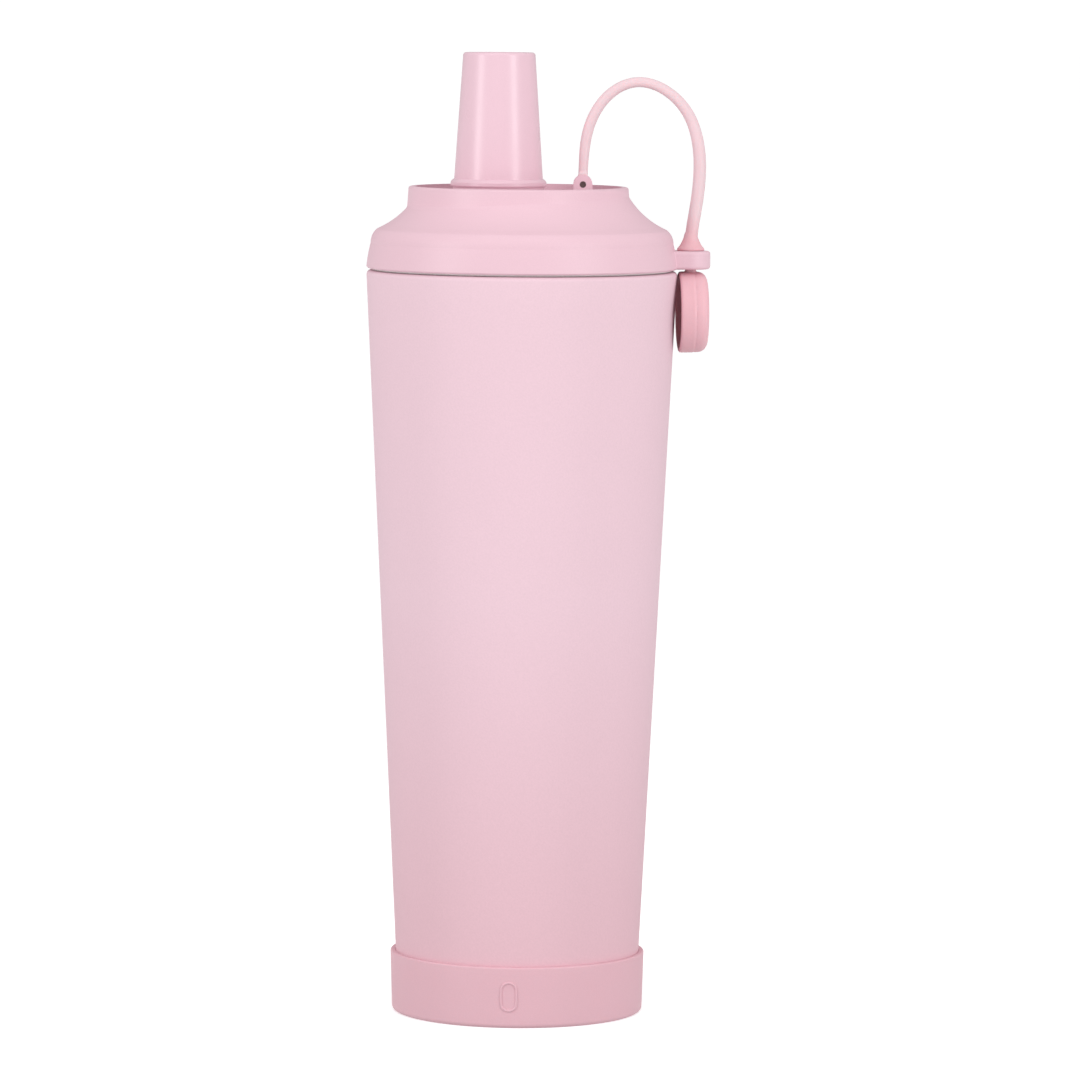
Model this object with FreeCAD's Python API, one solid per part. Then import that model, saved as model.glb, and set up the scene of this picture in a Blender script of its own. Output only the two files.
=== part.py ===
"""Insulated shaker bottle with a screw lid, a drinking spout and a tethered spout cap.

Millimetres, +Z up. The origin is on the bottle's axis, on the flat underside of the rubber boot.
The spout stands off-centre towards -X. The tether and the parked cap are on the +X side.
"""
import FreeCAD
import Part

import math
import os

Vector = FreeCAD.Vector

# --- Cup: a straight cone with a flat seam under the lid ---
CONE_FOOT_RADIUS = 33.87       # the outer cone carried down to z = 0
CONE_SLOPE = 0.0484            # how much the radius grows per mm of height
LIP_TOP = 211.35
LIP_ROUND = 1.2
LIP_WELD_RADIUS = 42.0         # where the two steel walls are welded together on the lip
SHELL_WALL = 0.5
SHELL_FOOT = 3.0
LINER_WALL = 0.5
WALL_PACK = 5.0                # outer face of the shell to inner face of the liner
LINER_FLOOR = 14.0
LINER_CORNER = 8.0
MOUTH_RADIUS = 40.0
LEDGE_TOP = 190.0              # the mixing grid rests here
LEDGE_DROP = 1.6

# --- Base of the cup ---
BOTTOM_PLATE = 8.0
BOTTOM_SHEET = 0.6
BOTTOM_RIM_RADIUS = 33.15
BOTTOM_RIM_FOOT = 3.6
DIMPLE_RADIUS = 6.0
DIMPLE_RISE = 1.5
VENT_HOLE_RADIUS = 1.0
BEAD_RADIUS = 4.5
BEAD_HEIGHT = 1.1
GETTER_RADIUS = 5.0
GETTER_HEIGHT = 2.0
GETTER_OFFSET = 17.0
COVER_BASE = 2.45
COVER_RADIUS = 32.3
COVER_RIM_TOP = 6.0

# --- Boot ---
BOOT_HEIGHT = 17.3
BOOT_TOP_RADIUS = 36.2
BOOT_FOOT_RADIUS = 35.7
BOOT_FLOOR = 2.4
BOOT_FOOT_ROUND = 1.3
BOOT_TOP_ROUND = 0.5
GRIP_GROOVES = (12.0, 19.0, 26.0)
GRIP_GROOVE_WIDTH = 1.6
GRIP_GROOVE_DEPTH = 0.6
EMBLEM_WIDTH = 5.2
EMBLEM_HEIGHT = 8.8
EMBLEM_LINE = 0.8
EMBLEM_RELIEF = 0.35
EMBLEM_CENTRE = 9.0
EMBLEM_TURN = -3.5             # degrees round the axis from the front

# --- Screw thread between the lid and the mouth ---
THREAD_LEAD = 6.0
THREAD_TURNS = 0.91
THREAD_DEPTH = 1.0
THREAD_ROOT_WIDTH = 2.2
THREAD_CREST_WIDTH = 1.1
THREAD_CLEARANCE = 0.35
MOUTH_THREAD_START = 200.5

# --- Mixing grid ---
GRID_RADIUS = 38.6
GRID_RIM = 2.2
GRID_HEIGHT = 4.2
GRID_BAR = 1.8
GRID_BAR_HEIGHT = 2.0
GRID_PITCH = 8.0
GRID_LIFT = 0.05

# --- Lid ---
LID_FOOT = 211.95
LID_BAND_RADIUS = 44.1
LID_BAND_WALL = 1.2
DECK_TOP = 229.0
DECK_THICKNESS = 2.0
COLLAR_SHIFT = -1.1            # the collar and its recess stand this far off the axis
COLLAR_RADIUS = 31.2
COLLAR_FLARE = 0.5
COLLAR_WALL = 1.9
COLLAR_FOOT = 226.5
COLLAR_FILLET = 1.5
RIM_TOP = 235.1
RIM_ROUND = 0.7

CORE_FOOT = 195.0
CORE_WALL = 1.8
CORE_FLANGE_BASE = 212.3
CORE_FLANGE_TOP = 214.3
CORE_FLANGE_RADIUS = 42.8
CORE_CEILING = 226.6

GASKET_INNER = 40.5
GASKET_OUTER = 42.6
GASKET_BASE = 211.45
GASKET_TOP = 212.25

# --- Spout ---
SPOUT_X = -6.8
SPOUT_TOP = 273.0
SPOUT_TIP_RADIUS = 10.25
SPOUT_BASE_RADIUS = 12.5
SPOUT_BORE = 8.2
SPOUT_FLANGE_RADIUS = 13.6
SPOUT_FLANGE_BASE = 235.05
SPOUT_FLANGE_TOP = 237.0
SPOUT_SHANK_RADIUS = 11.1
SPOUT_FOOT = 220.0
SPOUT_HOLE_RADIUS = 11.2
BOSS_RADIUS = 13.0
BOSS_TOP = 235.0
NUT_RADIUS = 14.0
NUT_BASE = 220.2
NUT_TOP = 224.1
NUT_NOTCHES = 8
NUT_NOTCH_RADIUS = 1.5
SPOUT_SEAL_RADIUS = 13.4
SPOUT_SEAL_BASE = 224.15
SPOUT_SEAL_TOP = 224.75

# --- Tether: strap, pin, lug and keeper tab ---
LUG_X = 17.1
PIN_Z = 235.9
PIN_RADIUS = 0.9
PIN_FIT = 0.03
PIN_HALF_LENGTH = 2.7
EAR_INNER = 1.7
EAR_OUTER = 3.3
EAR_HALF_WIDTH = 2.7
EYELET_HALF_THICKNESS = 1.5
EYELET_RADIUS = 2.4
EYELET_HOLE_RADIUS = 1.1
EYELET_NECK_BASE = 236.9
EYELET_NECK_TOP = 239.0
STRAP_RADIUS = 1.6
STRAP_ROUTE = (
    (17.15, 238.6),
    (17.2, 246.0),
    (19.0, 254.2),
    (23.8, 261.6),
    (31.8, 265.4),
    (40.6, 263.2),
    (47.2, 256.2),
    (50.1, 246.6),
    (49.6, 235.4),
    (48.3, 225.6),
    (47.8, 220.6),
)
STRAP_ARC_SHARE = 0.45         # how much of the shorter run each arc takes up

KEEPER_X = 47.8
KEEPER_RADIUS = 5.6
KEEPER_BASE = 212.1
KEEPER_TOP = 217.3
KEEPER_ROOT_X = 40.8
KEEPER_HOLE_RADIUS = 2.7
KEEPER_ROUND = 0.9
KEEPER_FILLET = 0.3
FLARE_RADIUS = 3.9
FLARE_BASE = 217.35
FLARE_WAIST = 219.0
FLARE_WAIST_RADIUS = 3.0
FLARE_TOP = 222.2
STEM_RADIUS = 2.6
STEM_BASE = 215.0

# --- Spout cap, parked under the keeper tab ---
CAP_RADIUS = 11.5
CAP_DEPTH = 8.0
CAP_DOME = 0.3
CAP_CORNER = 2.8
CAP_RIM_ROUND = 0.6
CAP_CAVITY_RADIUS = 10.2
CAP_CAVITY_DEPTH = 6.8
CAP_CAVITY_CORNER = 1.5
CAP_OPEN_X = 44.45
CAP_CENTRE_Z = 199.9
CAP_TILT = 0.4                 # degrees the closed end looks upwards
CAP_TWIST = 3.5                # degrees it is twisted on its neck, open side to the front
CAP_HINGE_Z = 213.2
CAP_NECK_HALF_THICKNESS = 1.5
CAP_NECK_HALF_WIDTH = 1.8
CAP_NECK_ROOT = 210.7


def outline(start, steps):
    """A closed wire in the XZ plane. A step is a point, or a middle and an end point for an arc."""
    edges = []
    here = Vector(start[0], 0, start[1])
    first = here
    for step in steps:
        if isinstance(step[0], tuple):
            middle = Vector(step[0][0], 0, step[0][1])
            end = Vector(step[1][0], 0, step[1][1])
            edges.append(Part.Arc(here, middle, end).toShape())
        else:
            end = Vector(step[0], 0, step[1])
            edges.append(Part.LineSegment(here, end).toShape())
        here = end
    edges.append(Part.LineSegment(here, first).toShape())
    return Part.Wire(edges)


def turned(start, *steps):
    """The solid that an outline of (radius, height) points sweeps round the Z axis."""
    face = Part.Face(outline(start, steps))
    return face.revolve(Vector(0, 0, 0), Vector(0, 0, 1), 360)


def rod(radius, low, high, x=0.0):
    """A vertical round bar."""
    return Part.makeCylinder(radius, high - low, Vector(x, 0, low))


def cross_rod(radius, half_length, x, z):
    """A round bar along Y."""
    start = Vector(x, -half_length, z)
    return Part.makeCylinder(radius, 2 * half_length, start, Vector(0, 1, 0))


def block(low, high):
    """A box between two corners."""
    return Part.makeBox(high[0] - low[0], high[1] - low[1], high[2] - low[2], Vector(*low))


def cone_radius(height):
    """Outer radius of the steel cup at a height."""
    return CONE_FOOT_RADIUS + CONE_SLOPE * height


def corner_point(centre, radius, degrees):
    """The point of a round corner at an angle, for the middle of an arc."""
    angle = math.radians(degrees)
    return (centre[0] + radius * math.cos(angle), centre[1] + radius * math.sin(angle))


def thread_ridge(wall_radius, depth, z_start):
    """A trapezoid ridge on a right-hand helix. A negative depth points inwards."""
    side = 1 if depth > 0 else -1
    root = wall_radius - side * 0.3
    crest = wall_radius + depth
    helix = Part.makeHelix(THREAD_LEAD, THREAD_LEAD * THREAD_TURNS, wall_radius)
    helix.translate(Vector(0, 0, z_start))
    section = Part.makePolygon([
        Vector(root, 0, z_start - THREAD_ROOT_WIDTH / 2),
        Vector(crest, 0, z_start - THREAD_CREST_WIDTH / 2),
        Vector(crest, 0, z_start + THREAD_CREST_WIDTH / 2),
        Vector(root, 0, z_start + THREAD_ROOT_WIDTH / 2),
        Vector(root, 0, z_start - THREAD_ROOT_WIDTH / 2),
    ])
    return Part.Wire(helix).makePipeShell([section], True, True)


# --- The steel cup ---

def outer_shell():
    """The powder-coated outer wall, open at the foot, curled in at the lip."""
    outer_top = LIP_TOP - LIP_ROUND
    inner_top = outer_top - 0.1
    lip_centre = (cone_radius(outer_top) - LIP_ROUND, outer_top)
    inner_round = LIP_ROUND - SHELL_WALL + 0.1
    inner_centre = (cone_radius(inner_top) - SHELL_WALL - inner_round, inner_top)
    lip_under = inner_top + inner_round
    return turned(
        (cone_radius(SHELL_FOOT) - SHELL_WALL, SHELL_FOOT),
        (cone_radius(SHELL_FOOT), SHELL_FOOT),
        (cone_radius(outer_top), outer_top),
        (corner_point(lip_centre, LIP_ROUND, 45), (lip_centre[0], LIP_TOP)),
        (LIP_WELD_RADIUS, LIP_TOP),
        (LIP_WELD_RADIUS, lip_under),
        (inner_centre[0], lip_under),
        (corner_point(inner_centre, inner_round, 45), (inner_centre[0] + inner_round, inner_top)),
    )


def inner_liner():
    """The bare steel liner: round floor, cone, ledge for the grid, threaded mouth."""
    floor_under = LINER_FLOOR - LINER_WALL
    inside = cone_radius(LINER_FLOOR + LINER_CORNER) - WALL_PACK
    corner = (inside - LINER_CORNER, LINER_FLOOR + LINER_CORNER)
    outer_corner = LINER_CORNER + LINER_WALL
    ledge_foot = LEDGE_TOP - LEDGE_DROP
    mouth_out = MOUTH_RADIUS + LINER_WALL
    lip_start = LIP_TOP - LIP_ROUND
    lip_centre = (MOUTH_RADIUS + LIP_ROUND, lip_start)
    lip_under = LIP_TOP - LINER_WALL
    under_round = LIP_ROUND - LINER_WALL
    liner = turned(
        (0, floor_under),
        (corner[0], floor_under),
        (corner_point(corner, outer_corner, -45), (corner[0] + outer_corner, corner[1])),
        (cone_radius(ledge_foot) - WALL_PACK + LINER_WALL, ledge_foot),
        (mouth_out, LEDGE_TOP - LINER_WALL),
        (mouth_out, lip_start),
        (corner_point(lip_centre, under_round, 135), (lip_centre[0], lip_under)),
        (LIP_WELD_RADIUS, lip_under),
        (LIP_WELD_RADIUS, LIP_TOP),
        (lip_centre[0], LIP_TOP),
        (corner_point(lip_centre, LIP_ROUND, 135), (MOUTH_RADIUS, lip_start)),
        (MOUTH_RADIUS, LEDGE_TOP),
        (cone_radius(ledge_foot) - WALL_PACK, LEDGE_TOP),
        (cone_radius(ledge_foot) - WALL_PACK, ledge_foot),
        (inside, corner[1]),
        (corner_point(corner, LINER_CORNER, -45), (corner[0], LINER_FLOOR)),
        (0, LINER_FLOOR),
    )
    return liner.fuse(thread_ridge(MOUTH_RADIUS, -THREAD_DEPTH, MOUTH_THREAD_START)).removeSplitter()


def outer_bottom():
    """The plate that closes the vacuum gap, with a raised dimple round its pump hole."""
    sheet = BOTTOM_SHEET
    dimple = BOTTOM_PLATE + DIMPLE_RISE
    rim_inner = BOTTOM_RIM_RADIUS - sheet
    return turned(
        (VENT_HOLE_RADIUS, dimple),
        (DIMPLE_RADIUS, dimple),
        (DIMPLE_RADIUS + DIMPLE_RISE, BOTTOM_PLATE),
        (rim_inner, BOTTOM_PLATE),
        (rim_inner, BOTTOM_RIM_FOOT),
        (BOTTOM_RIM_RADIUS, BOTTOM_RIM_FOOT),
        (BOTTOM_RIM_RADIUS, BOTTOM_PLATE + sheet),
        (DIMPLE_RADIUS + DIMPLE_RISE + sheet, BOTTOM_PLATE + sheet),
        (DIMPLE_RADIUS + sheet, dimple + sheet),
        (VENT_HOLE_RADIUS, dimple + sheet),
    )


def seal_bead():
    """The glass bead that was melted over the pump hole, from below."""
    top = BOTTOM_PLATE + DIMPLE_RISE - 0.02
    return turned(
        (0, top),
        (BEAD_RADIUS, top),
        (BEAD_RADIUS, top - 0.4),
        (BEAD_RADIUS - 0.9, top - BEAD_HEIGHT),
        (0, top - BEAD_HEIGHT),
    )


def getter():
    """The small capsule in the vacuum gap that takes up stray gas."""
    low = BOTTOM_PLATE + BOTTOM_SHEET + 0.02
    can = rod(GETTER_RADIUS, low, low + GETTER_HEIGHT, GETTER_OFFSET)
    dish = rod(GETTER_RADIUS - 0.8, low + GETTER_HEIGHT - 0.7, low + GETTER_HEIGHT + 1, GETTER_OFFSET)
    return can.cut(dish)


def bottom_cover():
    """The pressed steel disc that hides the dimple and stands on the boot's floor."""
    sheet = BOTTOM_SHEET
    bend = 1.5
    centre = (COVER_RADIUS - bend, COVER_BASE + bend)
    return turned(
        (0, COVER_BASE),
        (centre[0], COVER_BASE),
        (corner_point(centre, bend, -45), (COVER_RADIUS, centre[1])),
        (COVER_RADIUS, COVER_RIM_TOP),
        (COVER_RADIUS - sheet, COVER_RIM_TOP),
        (COVER_RADIUS - sheet, centre[1]),
        (corner_point(centre, bend - sheet, -45), (centre[0], COVER_BASE + sheet)),
        (0, COVER_BASE + sheet),
    )


# --- The boot ---

def boot_form(relief):
    """The outside of the boot as one full solid, grown by the relief."""
    foot = BOOT_FOOT_RADIUS + relief
    top = BOOT_TOP_RADIUS + relief
    foot_centre = (foot - BOOT_FOOT_ROUND, BOOT_FOOT_ROUND)
    top_centre = (top - BOOT_TOP_ROUND, BOOT_HEIGHT - BOOT_TOP_ROUND)
    return turned(
        (0, 0),
        (foot_centre[0], 0),
        (corner_point(foot_centre, BOOT_FOOT_ROUND, -45), (foot, BOOT_FOOT_ROUND)),
        (top, top_centre[1]),
        (corner_point(top_centre, BOOT_TOP_ROUND, 45), (top_centre[0], BOOT_HEIGHT)),
        (0, BOOT_HEIGHT),
    )


def capsule_bar(width, height):
    """An upright bar with round ends, pointing at -Y, for the raised mark."""
    radius = width / 2
    straight = height / 2 - radius
    start = Vector(0, -2 * BOOT_TOP_RADIUS, 0)
    reach = 1.5 * BOOT_TOP_RADIUS
    ends = [
        Part.makeCylinder(radius, reach, start + Vector(0, 0, side * straight), Vector(0, 1, 0))
        for side in (-1, 1)
    ]
    middle = block((-radius, start.y, -straight), (radius, start.y + reach, straight))
    return middle.fuse(ends).removeSplitter()


def emblem():
    """A plain upright capsule outline, raised a little from the boot's front."""
    line = 2 * EMBLEM_LINE
    ring = capsule_bar(EMBLEM_WIDTH, EMBLEM_HEIGHT)
    ring = ring.cut(capsule_bar(EMBLEM_WIDTH - line, EMBLEM_HEIGHT - line))
    ring.translate(Vector(0, 0, EMBLEM_CENTRE))
    ring.rotate(Vector(0, 0, 0), Vector(0, 0, 1), EMBLEM_TURN)
    return ring.common(boot_form(EMBLEM_RELIEF))


def boot():
    """The silicone boot: floor, wall, grip grooves below and the raised mark in front."""
    hollow = turned(
        (0, BOOT_FLOOR),
        (cone_radius(BOOT_FLOOR) + 0.05, BOOT_FLOOR),
        (cone_radius(BOOT_HEIGHT + 1) + 0.05, BOOT_HEIGHT + 1),
        (0, BOOT_HEIGHT + 1),
    )
    body = boot_form(0).fuse(emblem()).cut(hollow)
    for radius in GRIP_GROOVES:
        groove = rod(radius + GRIP_GROOVE_WIDTH, -1, GRIP_GROOVE_DEPTH)
        body = body.cut(groove.cut(rod(radius, -1, GRIP_GROOVE_DEPTH)))
    return body.removeSplitter()


# --- In the mouth ---

def mixing_grid():
    """The lattice that breaks up the powder: crossed bars in a round rim."""
    low = LEDGE_TOP + GRID_LIFT
    rim = rod(GRID_RADIUS, low, low + GRID_HEIGHT)
    rim = rim.cut(rod(GRID_RADIUS - GRID_RIM, low - 1, low + GRID_HEIGHT + 1))
    reach = GRID_RADIUS - GRID_RIM / 2
    count = int(reach // GRID_PITCH)
    bars = []
    for step in range(-count, count + 1):
        near = step * GRID_PITCH - GRID_BAR / 2
        far = near + GRID_BAR
        bars.append(block((near, -reach, low), (far, reach, low + GRID_BAR_HEIGHT)))
        bars.append(block((-reach, near, low), (reach, far, low + GRID_BAR_HEIGHT)))
    lattice = bars[0].fuse(bars[1:])
    lattice = lattice.common(rod(reach, low, low + GRID_BAR_HEIGHT))
    return rim.fuse(lattice).removeSplitter()


def lid_gasket():
    """The flat silicone ring between the lid's flange and the steel lip."""
    middle = (GASKET_BASE + GASKET_TOP) / 2
    return turned(
        (GASKET_INNER, GASKET_BASE),
        (GASKET_OUTER - 0.4, GASKET_BASE),
        ((GASKET_OUTER, middle), (GASKET_OUTER - 0.4, GASKET_TOP)),
        (GASKET_INNER, GASKET_TOP),
    )


# --- The lid ---

def lid_form():
    """The outside of the lid below the collar: band, round shoulder and concave sweep."""
    return turned(
        (0, LID_FOOT),
        (LID_BAND_RADIUS - 0.4, LID_FOOT),
        (LID_BAND_RADIUS, LID_FOOT + 0.4),
        ((43.7, 215.4), (42.95, 219.0)),
        ((42.4, 221.4), (41.2, 222.95)),
        (39.1, 224.0),
        ((34.9, 226.9), (29.6, 233.4)),
        (0, 233.4),
    )


def lid_hollow():
    """The space under the lid's outer skin, where the core sits."""
    top = DECK_TOP - DECK_THICKNESS
    inner = LID_BAND_RADIUS - LID_BAND_WALL
    return turned(
        (0, LID_FOOT - 1),
        (inner, LID_FOOT - 1),
        (inner, 214.4),
        (41.4, 218.0),
        (40.2, 220.4),
        (38.6, 221.2),
        (34.0, 224.2),
        (30.6, top),
        (0, top),
    )


def collar():
    """The upright collar with its rounded rim, as a full solid."""
    foot = COLLAR_RADIUS + COLLAR_FLARE
    rim_centre = (COLLAR_RADIUS - RIM_ROUND, RIM_TOP - RIM_ROUND)
    form = turned(
        (0, COLLAR_FOOT),
        (foot, COLLAR_FOOT),
        (COLLAR_RADIUS, rim_centre[1]),
        (corner_point(rim_centre, RIM_ROUND, 45), (rim_centre[0], RIM_TOP)),
        (0, RIM_TOP),
    )
    form.translate(Vector(COLLAR_SHIFT, 0, 0))
    return form


def lug_ears():
    """The two ears on the deck that hold the tether's pin."""
    ears = []
    for side in (-1, 1):
        near = min(side * EAR_INNER, side * EAR_OUTER)
        far = max(side * EAR_INNER, side * EAR_OUTER)
        low = (LUG_X - EAR_HALF_WIDTH, near, DECK_TOP - 0.5)
        high = (LUG_X + EAR_HALF_WIDTH, far, PIN_Z)
        top = Part.makeCylinder(EAR_HALF_WIDTH, far - near, Vector(LUG_X, near, PIN_Z), Vector(0, 1, 0))
        ears.append(block(low, high).fuse(top))
    pair = ears[0].fuse(ears[1])
    return pair.cut(cross_rod(PIN_RADIUS + PIN_FIT, EAR_OUTER + 1, LUG_X, PIN_Z))


def keeper_tab():
    """The tab on the lid's side that the strap's stem passes through."""
    end = rod(KEEPER_RADIUS, KEEPER_BASE, KEEPER_TOP, KEEPER_X)
    arm = block((KEEPER_ROOT_X, -KEEPER_RADIUS, KEEPER_BASE), (KEEPER_X, KEEPER_RADIUS, KEEPER_TOP))
    tab = end.fuse(arm).removeSplitter()
    rims = [
        edge for edge in tab.Edges
        if edge.BoundBox.ZLength < 0.01 and edge.BoundBox.XMax > KEEPER_ROOT_X + 0.1
    ]
    return tab.makeFillet(KEEPER_ROUND, rims)


def edges_within(shape, low, high):
    """The edges of a shape that lie wholly inside a box."""
    room = FreeCAD.BoundBox(*low, *high)
    return [edge for edge in shape.Edges if room.isInside(edge.BoundBox)]


def lid_shell():
    """The lid's outer skin with its collar, recessed deck, spout boss, lug and keeper tab."""
    shell = lid_form().fuse(collar()).removeSplitter()
    wide = LID_BAND_RADIUS
    junction = edges_within(shell, (-wide, -wide, COLLAR_FOOT + 0.5), (wide, wide, RIM_TOP - RIM_ROUND))
    junction = [edge for edge in junction if edge.BoundBox.DiagonalLength > COLLAR_RADIUS]
    shell = shell.makeFillet(COLLAR_FILLET, junction)
    shell = shell.fuse(keeper_tab())
    root_low = (KEEPER_ROOT_X, -wide / 4, LID_FOOT + 0.2)
    root_high = (LID_BAND_RADIUS + 0.5, wide / 4, KEEPER_TOP + 0.5)
    root = edges_within(shell, root_low, root_high)
    shell = shell.makeFillet(KEEPER_FILLET, root)
    recess = rod(COLLAR_RADIUS - COLLAR_WALL, DECK_TOP, RIM_TOP + 5, COLLAR_SHIFT)
    shell = shell.cut([recess, lid_hollow()])
    shell = shell.fuse([rod(BOSS_RADIUS, DECK_TOP - 0.5, BOSS_TOP, SPOUT_X), lug_ears()])
    spout_hole = rod(SPOUT_HOLE_RADIUS, DECK_TOP - 5, BOSS_TOP + 1, SPOUT_X)
    keeper_hole = rod(KEEPER_HOLE_RADIUS, LID_FOOT - 1, KEEPER_TOP + 1, KEEPER_X)
    return shell.cut([spout_hole, keeper_hole]).removeSplitter()


def lid_core():
    """The threaded plug inside the lid, with its flange and ceiling."""
    skirt = MOUTH_RADIUS - THREAD_DEPTH - THREAD_CLEARANCE
    inner = skirt - CORE_WALL
    ceiling_under = CORE_CEILING - CORE_WALL
    core = turned(
        (inner, CORE_FOOT),
        (skirt - 0.5, CORE_FOOT),
        (skirt, CORE_FOOT + 0.5),
        (skirt, CORE_FLANGE_BASE),
        (CORE_FLANGE_RADIUS, CORE_FLANGE_BASE),
        (CORE_FLANGE_RADIUS, CORE_FLANGE_TOP),
        (38.4, CORE_FLANGE_TOP),
        (38.2, 218.8),
        (37.0, 220.4),
        (32.8, 223.2),
        (28.8, CORE_CEILING),
        (0, CORE_CEILING),
        (0, ceiling_under),
        (27.9, ceiling_under),
        (31.7, 221.7),
        (35.9, 218.9),
        (inner, 216.0),
    )
    core = core.cut(rod(SPOUT_HOLE_RADIUS, ceiling_under - 1, CORE_CEILING + 1, SPOUT_X))
    ridge = thread_ridge(skirt, THREAD_DEPTH, MOUTH_THREAD_START - THREAD_LEAD / 2)
    return core.fuse(ridge).removeSplitter()


# --- The spout ---

def spout():
    """The drinking spout: tapered tube, foot flange and the shank that goes through the deck."""
    lip = 0.9
    tip_centre = (SPOUT_TIP_RADIUS - lip, SPOUT_TOP - lip)
    tube = turned(
        (SPOUT_BORE, SPOUT_FOOT),
        (SPOUT_SHANK_RADIUS, SPOUT_FOOT),
        (SPOUT_SHANK_RADIUS, SPOUT_FLANGE_BASE),
        (SPOUT_FLANGE_RADIUS - 0.4, SPOUT_FLANGE_BASE),
        (SPOUT_FLANGE_RADIUS, SPOUT_FLANGE_BASE + 0.4),
        (SPOUT_FLANGE_RADIUS, SPOUT_FLANGE_TOP - 0.7),
        ((13.3, SPOUT_FLANGE_TOP - 0.2), (12.6, SPOUT_FLANGE_TOP + 0.3)),
        (SPOUT_BASE_RADIUS, SPOUT_FLANGE_TOP + 1.4),
        (SPOUT_TIP_RADIUS, tip_centre[1]),
        (corner_point(tip_centre, lip, 45), (tip_centre[0], SPOUT_TOP)),
        (SPOUT_BORE + 0.6, SPOUT_TOP),
        (corner_point((SPOUT_BORE + 0.6, SPOUT_TOP - 0.6), 0.6, 135), (SPOUT_BORE, SPOUT_TOP - 0.6)),
    )
    tube.translate(Vector(SPOUT_X, 0, 0))
    return tube


def spout_seal():
    """The flat ring between the core's ceiling and the spout's nut."""
    ring = rod(SPOUT_SEAL_RADIUS, SPOUT_SEAL_BASE, SPOUT_SEAL_TOP, SPOUT_X)
    return ring.cut(rod(SPOUT_HOLE_RADIUS, SPOUT_SEAL_BASE - 1, SPOUT_SEAL_TOP + 1, SPOUT_X))


def spout_nut():
    """The ring nut that clamps the spout from inside the lid, with notches for a key."""
    nut = rod(NUT_RADIUS, NUT_BASE, NUT_TOP, SPOUT_X)
    nut = nut.cut(rod(SPOUT_SHANK_RADIUS + 0.05, NUT_BASE - 1, NUT_TOP + 1, SPOUT_X))
    for notch in range(NUT_NOTCHES):
        angle = 2 * math.pi * notch / NUT_NOTCHES
        centre = Vector(SPOUT_X + NUT_RADIUS * math.cos(angle), NUT_RADIUS * math.sin(angle), NUT_BASE - 1)
        nut = nut.cut(Part.makeCylinder(NUT_NOTCH_RADIUS, NUT_TOP - NUT_BASE + 2, centre))
    return nut


# --- The tether ---

def tether_pin():
    """The steel pin across the lug."""
    return cross_rod(PIN_RADIUS, PIN_HALF_LENGTH, LUG_X, PIN_Z)


def strap_path():
    """Straight runs joined by tangent arcs through the strap's route."""
    points = [Vector(x, 0, z) for x, z in STRAP_ROUTE]
    edges = []
    here = points[0]
    for before, corner, after in zip(points, points[1:], points[2:]):
        incoming = (corner - before).normalize()
        outgoing = (after - corner).normalize()
        turn = incoming.getAngle(outgoing)
        setback = STRAP_ARC_SHARE * min((corner - before).Length, (after - corner).Length)
        radius = setback / math.tan(turn / 2)
        arc_start = corner - incoming * setback
        arc_end = corner + outgoing * setback
        inward = (outgoing - incoming).normalize()
        arc_middle = corner + inward * (radius / math.cos(turn / 2) - radius)
        edges.append(Part.LineSegment(here, arc_start).toShape())
        edges.append(Part.Arc(arc_start, arc_middle, arc_end).toShape())
        here = arc_end
    edges.append(Part.LineSegment(here, points[-1]).toShape())
    path = Part.Wire(edges)
    print("strap path", round(path.Length, 1), "mm")
    return path


def eyelet():
    """The flat ring at the strap's upper end, narrowing upwards into the strap."""
    ring = cross_rod(EYELET_RADIUS, EYELET_HALF_THICKNESS, LUG_X, PIN_Z)
    wide = EYELET_RADIUS * 0.9
    narrow = STRAP_RADIUS * 0.8
    neck = Part.makePolygon([
        Vector(LUG_X - wide, -EYELET_HALF_THICKNESS, EYELET_NECK_BASE),
        Vector(LUG_X + wide, -EYELET_HALF_THICKNESS, EYELET_NECK_BASE),
        Vector(LUG_X + narrow, -EYELET_HALF_THICKNESS, EYELET_NECK_TOP),
        Vector(LUG_X - narrow, -EYELET_HALF_THICKNESS, EYELET_NECK_TOP),
        Vector(LUG_X - wide, -EYELET_HALF_THICKNESS, EYELET_NECK_BASE),
    ])
    wedge = Part.Face(neck).extrude(Vector(0, 2 * EYELET_HALF_THICKNESS, 0))
    hole = cross_rod(EYELET_HOLE_RADIUS, EYELET_HALF_THICKNESS + 1, LUG_X, PIN_Z)
    return ring.fuse(wedge).cut(hole)


def tether_strap():
    """The moulded silicone strap: eyelet, arched tube, flare and the stem in the keeper tab."""
    path = strap_path()
    start = Vector(STRAP_ROUTE[0][0], 0, STRAP_ROUTE[0][1])
    heading = Vector(STRAP_ROUTE[1][0], 0, STRAP_ROUTE[1][1]) - start
    section = Part.Wire(Part.makeCircle(STRAP_RADIUS, start, heading))
    tube = path.makePipeShell([section], True, True)
    flare = turned(
        (0, FLARE_BASE),
        (FLARE_RADIUS, FLARE_BASE),
        (FLARE_RADIUS, FLARE_BASE + 0.4),
        ((3.35, FLARE_WAIST - 0.7), (FLARE_WAIST_RADIUS, FLARE_WAIST)),
        (STRAP_RADIUS + 0.15, FLARE_TOP),
        (0, FLARE_TOP),
    )
    flare.translate(Vector(KEEPER_X, 0, 0))
    stem = rod(STEM_RADIUS, STEM_BASE, FLARE_BASE + 0.2, KEEPER_X)
    return tube.fuse([eyelet(), flare, stem]).removeSplitter()


# --- The spout cap ---

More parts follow.
